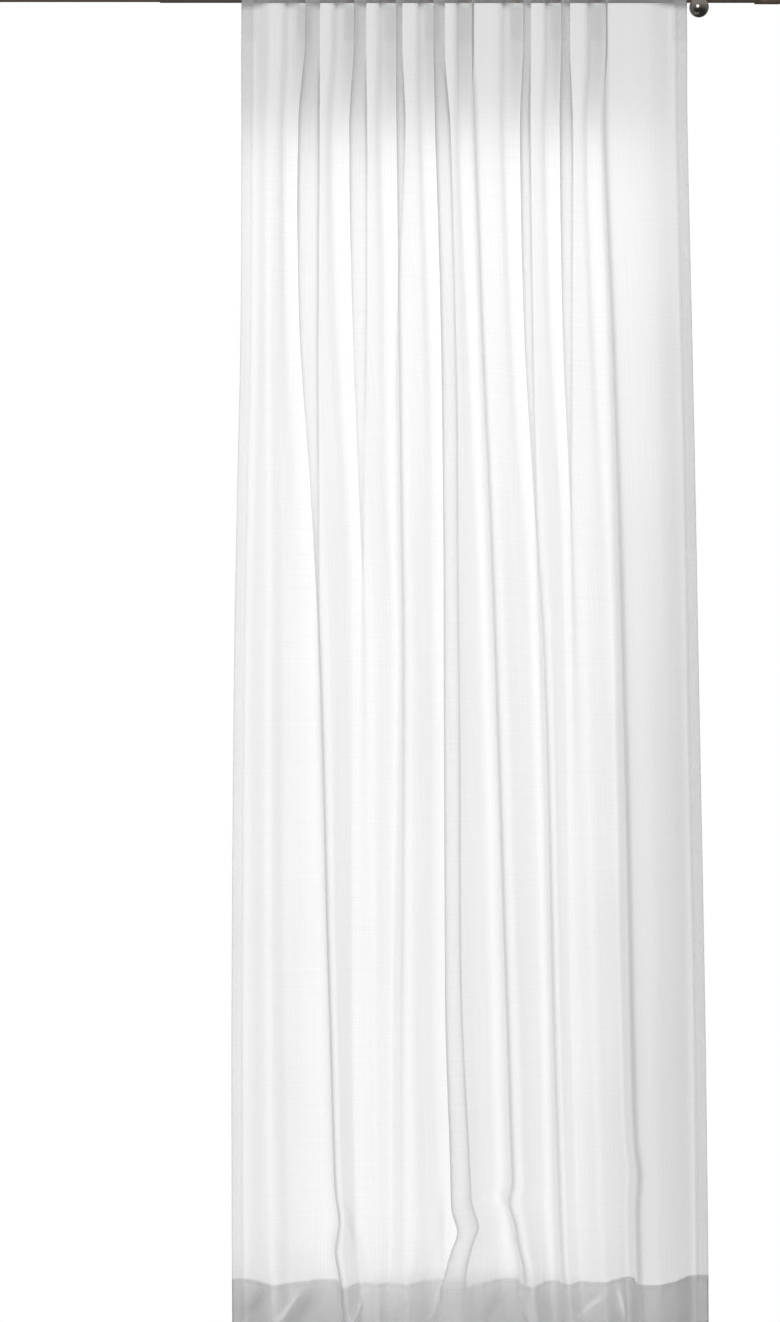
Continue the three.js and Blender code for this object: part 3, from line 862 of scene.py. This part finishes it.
class CURTAIN_OT_panel(bpy.types.Operator):
    """Hang the sheer panel in its folds, with its sewn hems and its tabs behind the heading"""

    bl_idname = "curtain.panel"
    bl_label = "Hang the panel"

    def execute(self, context):
        sizes = context.scene.curtain_panel
        surface = ClothSurface(sizes)
        panel = add_piece(
            "panel_cloth", grid_mesh("panel_cloth", *surface.with_hems()), "voile", ["curtain_panel"])
        stitches = self.sew(surface)
        tabs = [self.tab(name) for name in sorted(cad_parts) if name.startswith("tab_")]
        return {"FINISHED"}

    def sew(self, surface):
        sizes = surface.sizes
        pitch = sizes.stitch * STITCH_PITCH
        inner = sizes.side_hem - SEAM_INSET
        top = sizes.hem_bottom + sizes.bottom_hem - SEAM_INSET
        places = []
        heights = np.arange(sizes.hem_bottom + SEAM_ENDS_DOWN, sizes.heading_top - SEAM_ENDS_DOWN, pitch)
        for across in (inner, sizes.flat_width - inner):
            spots = [((across, z), (across, z + sizes.stitch)) for z in heights]
            places += stitch_line(surface, spots, sizes.stitch, sizes.thread)
        runs = np.arange(SEAM_ENDS_ACROSS, sizes.flat_width - 2 * SEAM_ENDS_ACROSS, pitch)
        spots = [((x, top), (x + sizes.stitch, top)) for x in runs]
        places += stitch_line(surface, spots, sizes.stitch, sizes.thread)
        mesh = stitch_mesh("hem_stitches", places, sizes.thread)
        return add_piece("hem_stitches", mesh, "voile", material=finish_of("thread"))

    def tab(self, node):
        """A strip sewn to the heading above and below the rod, which it passes behind."""
        low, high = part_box(node)
        rod_low, rod_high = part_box("rod_outer_tube")
        axis_y = (rod_low[1] + rod_high[1]) / 2
        clear = 0.0009
        wrap = (rod_high[1] - rod_low[1]) / 2 + clear
        fillet = 0.005
        upper_steps, turn_steps, lower_steps, columns = 6, 13, 12, 9
        turns = [
            ((-wrap + fillet, wrap + fillet), fillet, 180, 270),
            ((0, 0), wrap, 90, -90),
            ((-wrap + fillet, -wrap - fillet), fillet, 90, 180),
        ]
        route = [(-wrap, z) for z in np.linspace(high[2], wrap + fillet, upper_steps, endpoint=False)]
        for (y, z), radius, start, end in turns:
            for angle in np.radians(np.linspace(start, end, turn_steps)):
                route.append((y + radius * math.cos(angle), z + radius * math.sin(angle)))
        route += [(-wrap, z) for z in np.linspace(-wrap - fillet, low[2], lower_steps)[1:]]
        route = np.array(route)
        run = np.concatenate([[0], np.cumsum(np.linalg.norm(np.diff(route, axis=0), axis=1))])
        xs = np.linspace(low[0], high[0], columns)
        position = np.empty((len(route), len(xs), 3))
        position[..., 0] = xs[None, :]
        position[..., 1] = (axis_y + route[:, 0])[:, None]
        position[..., 2] = route[:, 1][:, None]
        weave = np.stack(np.broadcast_arrays(xs[None, :], run[:, None]), axis=2)
        plies = np.full(position.shape[:2], TAB_PLIES)
        name = node.replace("tab", "tab_band")
        painted_shading = np.zeros_like(plies)
        return add_piece(name, grid_mesh(name, position, plies, painted_shading, weave), "voile", [node])


def turned_mesh(name, profile, place, axis, steps=ROUND_STEPS):
    """A round piece: a profile of (along, radius) points spun about an axis through a place."""
    bm = bmesh.new()
    points = [bm.verts.new((radius, 0, along)) for along, radius in profile]
    edges = [bm.edges.new(pair) for pair in zip(points, points[1:])]
    bmesh.ops.spin(
        bm, geom=points + edges, cent=(0, 0, 0), axis=(0, 0, 1), dvec=(0, 0, 0), angle=2 * math.pi,
        steps=steps, use_merge=True, use_duplicate=False)
    bmesh.ops.remove_doubles(bm, verts=bm.verts, dist=TINY)
    bmesh.ops.recalc_face_normals(bm, faces=bm.faces)
    turn = Vector((0, 0, 1)).rotation_difference(Vector(axis)).to_matrix().to_4x4()
    bmesh.ops.transform(bm, matrix=Matrix.Translation(place) @ turn, verts=bm.verts)
    return mesh_of(bm, name)


def rounded(along, radius, size, start, end, steps=6):
    """Points of a profile's rounded corner: an arc about (along, radius), angles in degrees."""
    return [
        (along + size * math.cos(a), radius + size * math.sin(a))
        for a in np.radians(np.linspace(start, end, steps))]


class CURTAIN_OT_rod(bpy.types.Operator):
    """Make the rod's two tubes and its end caps"""

    bl_idname = "curtain.rod"
    bl_label = "Make the rod"

    def execute(self, context):
        for node, slot in (("rod_outer_tube", "rod_brown"), ("rod_inner_tube", "rod_taupe")):
            self.tube(node, slot)
        self.cap("rod_cap_right", "rod_brown", 1)
        self.cap("rod_cap_left", "rod_taupe", -1)
        return {"FINISHED"}

    def measures(self, node):
        low, high = (Vector(corner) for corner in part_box(node))
        middle = (low + high) / 2
        return low.x, high.x, (high.z - low.z) / 2, middle.y, middle.z

    def tube(self, node, slot):
        left, right, radius, y, z = self.measures(node)
        lip = 0.0006
        length = right - left
        profile = [(0, 0), (0, radius - lip)]
        profile += rounded(lip, radius - lip, lip, 180, 90)
        profile += rounded(length - lip, radius - lip, lip, 90, 0)
        profile += [(length, 0)]
        mesh = turned_mesh(node, profile, (left, y, z), (1, 0, 0))
        add_piece(node + "_drawn", mesh, slot, [node])

    def cap(self, node, slot, outwards):
        left, right, radius, y, z = self.measures(node)
        length = right - left
        groove = 0.0008
        edge = 0.001
        end = 0.006
        groove_places = (0.005, 0.0085)
        profile = [(0, 0), (0, radius - edge)] + rounded(edge, radius - edge, edge, 180, 90)
        for along in groove_places:
            profile += [
                (along, radius), (along + groove / 2, radius - groove),
                (along + groove, radius - groove), (along + 1.5 * groove, radius)]
        profile += rounded(length - end, radius - end, end, 90, 0, 10) + [(length, 0)]
        start = left if outwards > 0 else right
        mesh = turned_mesh(node, profile, (start, y, z), (outwards, 0, 0))
        add_piece(node + "_turned", mesh, slot, [node])


class CURTAIN_OT_brackets(bpy.types.Operator):
    """Make both brackets: plate, arm, cradle and ball knob"""

    bl_idname = "curtain.brackets"
    bl_label = "Make the brackets"

    def execute(self, context):
        for side, tube in (("right", "rod_outer_tube"), ("left", "rod_inner_tube")):
            self.plate(f"bracket_{side}_plate")
            self.arm(f"bracket_{side}_arm")
            self.knob(f"bracket_{side}_knob")
            self.cradle(f"bracket_{side}_cradle", tube)
        return {"FINISHED"}

    def middle(self, node):
        low, high = (Vector(corner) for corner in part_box(node))
        return (low + high) / 2, high - low

    def turned(self, node, ending, profile, place, steps=ROUND_STEPS):
        mesh = turned_mesh(node, profile, place, (0, -1, 0), steps)
        add_piece(node + ending, mesh, "bracket_bronze", [node])

    def plate(self, node):
        middle, size = self.middle(node)
        radius = size.x / 2
        thickness = size.y
        edge = 0.002
        back_edge = 0.0004
        dish = 0.0008
        rim_inside, dish_outside = radius * 0.62, radius * 0.6
        profile = [(0, 0), (0, radius - back_edge), (back_edge, radius)]
        profile += rounded(thickness - edge, radius - edge, edge, 90, 0)
        profile += [(thickness, rim_inside), (thickness - dish, dish_outside), (thickness - dish, 0)]
        place = (middle.x, middle.y + thickness / 2, middle.z)
        self.turned(node, "_turned", profile, place)

    def arm(self, node):
        middle, size = self.middle(node)
        radius = size.x / 2
        length = size.y
        collar = radius + 0.0022
        collar_end, neck = 0.006, 0.0075
        edge = 0.0012
        profile = [(0, 0), (0, collar - edge)] + rounded(edge, collar - edge, edge, 180, 90)
        profile += [(collar_end, collar), (neck, radius)]
        profile += [(length - neck, radius), (length - collar_end, collar)]
        profile += rounded(length - edge, collar - edge, edge, 90, 0) + [(length, 0)]
        place = (middle.x, middle.y + length / 2, middle.z)
        self.turned(node, "_turned", profile, place)

    def knob(self, node):
        middle, size = self.middle(node)
        low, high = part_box(node)
        radius = size.x / 2
        stem = 0.005
        fillet = 0.0012
        neck = radius * 0.985
        collar = stem + 0.0012
        collar_length, collar_slope = 0.0018, 0.0025
        length = high[1] - low[1] - radius
        profile = rounded(0, 0, radius, 0, 180 - math.degrees(math.asin((stem + fillet) / radius)), 41)
        profile += [(-neck, stem + fillet * 0.3), (-length + collar_slope, stem)]
        profile += [(-length + collar_length, collar), (-length, collar), (-length, 0)]
        place = (middle.x, low[1] + radius, middle.z)
        self.turned(node, "_ball", profile, place, BALL_STEPS)

    def cradle(self, node, tube):
        low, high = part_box(node)
        tube_low, tube_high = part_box(tube)
        axis_y = (tube_low[1] + tube_high[1]) / 2
        clear = 0.0003
        seat = (tube_high[2] - tube_low[2]) / 2 + clear
        front = low[1] - axis_y
        back = high[1] - axis_y
        lip = 0.35
        toe = -0.004
        seat_steps = 33
        corner = 0.9
        edge = 0.0012
        outline = [(front, low[2]), (toe, low[2]), (back, -seat), (back, high[2]), (seat, high[2])]
        outline += [
            (seat * math.cos(a), seat * math.sin(a)) for a in np.linspace(0, lip - math.pi, seat_steps)]
        outline += [(front, -seat * math.sin(lip))]
        bm = bmesh.new()
        points = [bm.verts.new((low[0], axis_y + y, z)) for y, z in outline]
        face = bm.faces.new(points)
        grown = bmesh.ops.extrude_face_region(bm, geom=[face])
        moved = [e for e in grown["geom"] if isinstance(e, bmesh.types.BMVert)]
        bmesh.ops.translate(bm, vec=(high[0] - low[0], 0, 0), verts=moved)
        bmesh.ops.recalc_face_normals(bm, faces=bm.faces)
        sharp = [e for e in bm.edges if len(e.link_faces) == 2 and e.calc_face_angle() > corner]
        bmesh.ops.bevel(
            bm, geom=sharp, offset=edge, affect="EDGES", segments=3, profile=0.5, material=-1,
            clamp_overlap=True)
        piece = add_piece(node + "_hook", mesh_of(bm, node), "bracket_bronze", [node])
        piece.data.set_sharp_from_angle(angle=math.radians(40))


class CURTAIN_OT_stage(bpy.types.Operator):
    """Set up the camera, the soft lights, the pale backdrop and the floor"""

    bl_idname = "curtain.stage"
    bl_label = "Set the stage"

    def execute(self, context):
        scene = context.scene
        settings = scene.curtain_stage
        self.camera(scene, settings)
        self.floor(scene, settings)
        self.surroundings(scene)
        self.back_light(**BACK_LIGHT)
        self.lamp("front_softbox", **FRONT_LIGHT)
        scene.view_settings.view_transform = "Standard"
        scene.cycles.transparent_max_bounces = 32
        return {"FINISHED"}

    def back_light(self, boxes, top, height, left, right, depth, power, spread):
        for i in range(boxes):
            low = i / (boxes - 1)
            end, watts = (first + (last - first) * low for first, last in (right, power))
            place = Vector(((left + end) / 2, depth, top - height * (i + 0.5)))
            ahead = place - Vector((0, 1, 0))
            self.lamp(f"back_softbox_{i + 1}", place, ahead, (end - left, height), watts, spread)

    def camera(self, scene, settings):
        lens = bpy.data.cameras.new("camera")
        lens.lens = settings.focal_length
        lens.sensor_width = 36
        image_height = 1322
        image_middle, cloth_middle = 390, 469
        lens.shift_x = (image_middle - cloth_middle) / image_height
        camera = bpy.data.objects.new("camera", lens)
        along_rod = 0.0073
        camera.location = (along_rod, -settings.camera_distance, settings.camera_height)
        camera.rotation_euler = (math.pi / 2 + settings.camera_pitch, 0, 0)
        scene.collection.objects.link(camera)
        scene.camera = camera

    def floor(self, scene, settings):
        bm = bmesh.new()
        bmesh.ops.create_circle(bm, cap_ends=True, segments=96, radius=3.0)
        forward = -0.1
        level = CAD_BOX[0][2] - settings.floor_gap
        bmesh.ops.translate(bm, vec=(0, forward, level), verts=bm.verts)
        floor = bpy.data.objects.new("floor", mesh_of(bm, "floor"))
        scene.collection.objects.link(floor)
        floor.data.materials.append(self.floor_finish())

    def floor_finish(self):
        finish = Finish(bpy.data.materials.new("pale_floor"))
        place = finish.node("ShaderNodeTexCoord").outputs["Object"]
        flat = finish.node("ShaderNodeMapping", sockets={
            "Vector": place, "Scale": (1.9, 1.2, 0), "Location": (0, 0.12, 0)}).outputs[0]
        away = finish.node("ShaderNodeVectorMath", {"operation": "LENGTH"}, {0: flat})
        fade = finish.node(
            "ShaderNodeValToRGB", {"stops": [(0.1, 1), (0.42, 0)]},
            {"Fac": finish.value(away, 1) * 0.5})
        shader = finish.node("ShaderNodeBsdfPrincipled", sockets={
            "Base Color": (0.93, 0.93, 0.93, 1), "Roughness": 0.9,
            "Alpha": finish.value(fade)})
        return finish.close(shader.outputs[0])

    def surroundings(self, scene):
        """Even white to the camera, and for the rest light that grows from below to above."""
        finish = Finish(bpy.data.worlds.new("pale_surroundings"))
        white = (1, 1, 1, 1)
        direction = finish.node("ShaderNodeTexCoord").outputs["Generated"]
        axes = finish.node("ShaderNodeSeparateXYZ", sockets={0: direction})
        rise = finish.node("ShaderNodeMapRange", sockets={
            "Value": axes.outputs["Z"], "From Min": -0.5, "From Max": 0.6, "To Min": 0.05, "To Max": 0.42})
        ambient = finish.node(
            "ShaderNodeBackground", sockets={"Color": white, "Strength": rise.outputs[0]})
        plain = finish.node("ShaderNodeBackground", sockets={"Color": white, "Strength": 1.0})
        seen = finish.node("ShaderNodeLightPath").outputs["Is Camera Ray"]
        mix = finish.node("ShaderNodeMixShader", sockets={
            "Fac": seen, 1: ambient.outputs[0], 2: plain.outputs[0]})
        scene.world = finish.close(mix.outputs[0], "ShaderNodeOutputWorld")

    def lamp(self, name, place, target, size, power, spread):
        light = bpy.data.lights.new(name, "AREA")
        light.shape = "RECTANGLE"
        light.size, light.size_y = size
        light.energy = power
        light.spread = math.radians(spread)
        lamp = bpy.data.objects.new(name, light)
        lamp.location = place
        aim = Vector(target) - Vector(place)
        lamp.rotation_euler = aim.to_track_quat("-Z", "Y").to_euler()
        lamp.visible_camera = False
        bpy.context.scene.collection.objects.link(lamp)


class CURTAIN_PT_pieces(bpy.types.Panel):
    """The curtain's pieces, in the order in which they are made"""

    bl_idname = "CURTAIN_PT_pieces"
    bl_label = "Sheer curtain"
    bl_space_type = "VIEW_3D"
    bl_region_type = "UI"
    bl_category = "Curtain"

    def draw(self, context):
        for operator in OPERATORS:
            self.layout.operator(operator.bl_idname)
        for group in ("curtain_panel", "curtain_finish", "curtain_stage"):
            settings = getattr(context.scene, group)
            box = self.layout.box()
            for name in settings.__annotations__:
                box.prop(settings, name)


GROUPS = {"curtain_panel": PanelSizes, "curtain_finish": FinishColours, "curtain_stage": StageSettings}
OPERATORS = (CURTAIN_OT_rod, CURTAIN_OT_brackets, CURTAIN_OT_panel, CURTAIN_OT_stage)
CLASSES = (*GROUPS.values(), *OPERATORS, CURTAIN_PT_pieces)


def register():
    for kind in CLASSES:
        bpy.utils.register_class(kind)
    for name, kind in GROUPS.items():
        setattr(bpy.types.Scene, name, PointerProperty(type=kind))


def unregister():
    for name in GROUPS:
        delattr(bpy.types.Scene, name)
    for kind in reversed(CLASSES):
        bpy.utils.unregister_class(kind)


def main():
    register()
    bpy.ops.curtain.rod()
    bpy.ops.curtain.brackets()
    bpy.ops.curtain.panel()
    bpy.ops.curtain.stage()


if __name__ == "__main__":
    main()
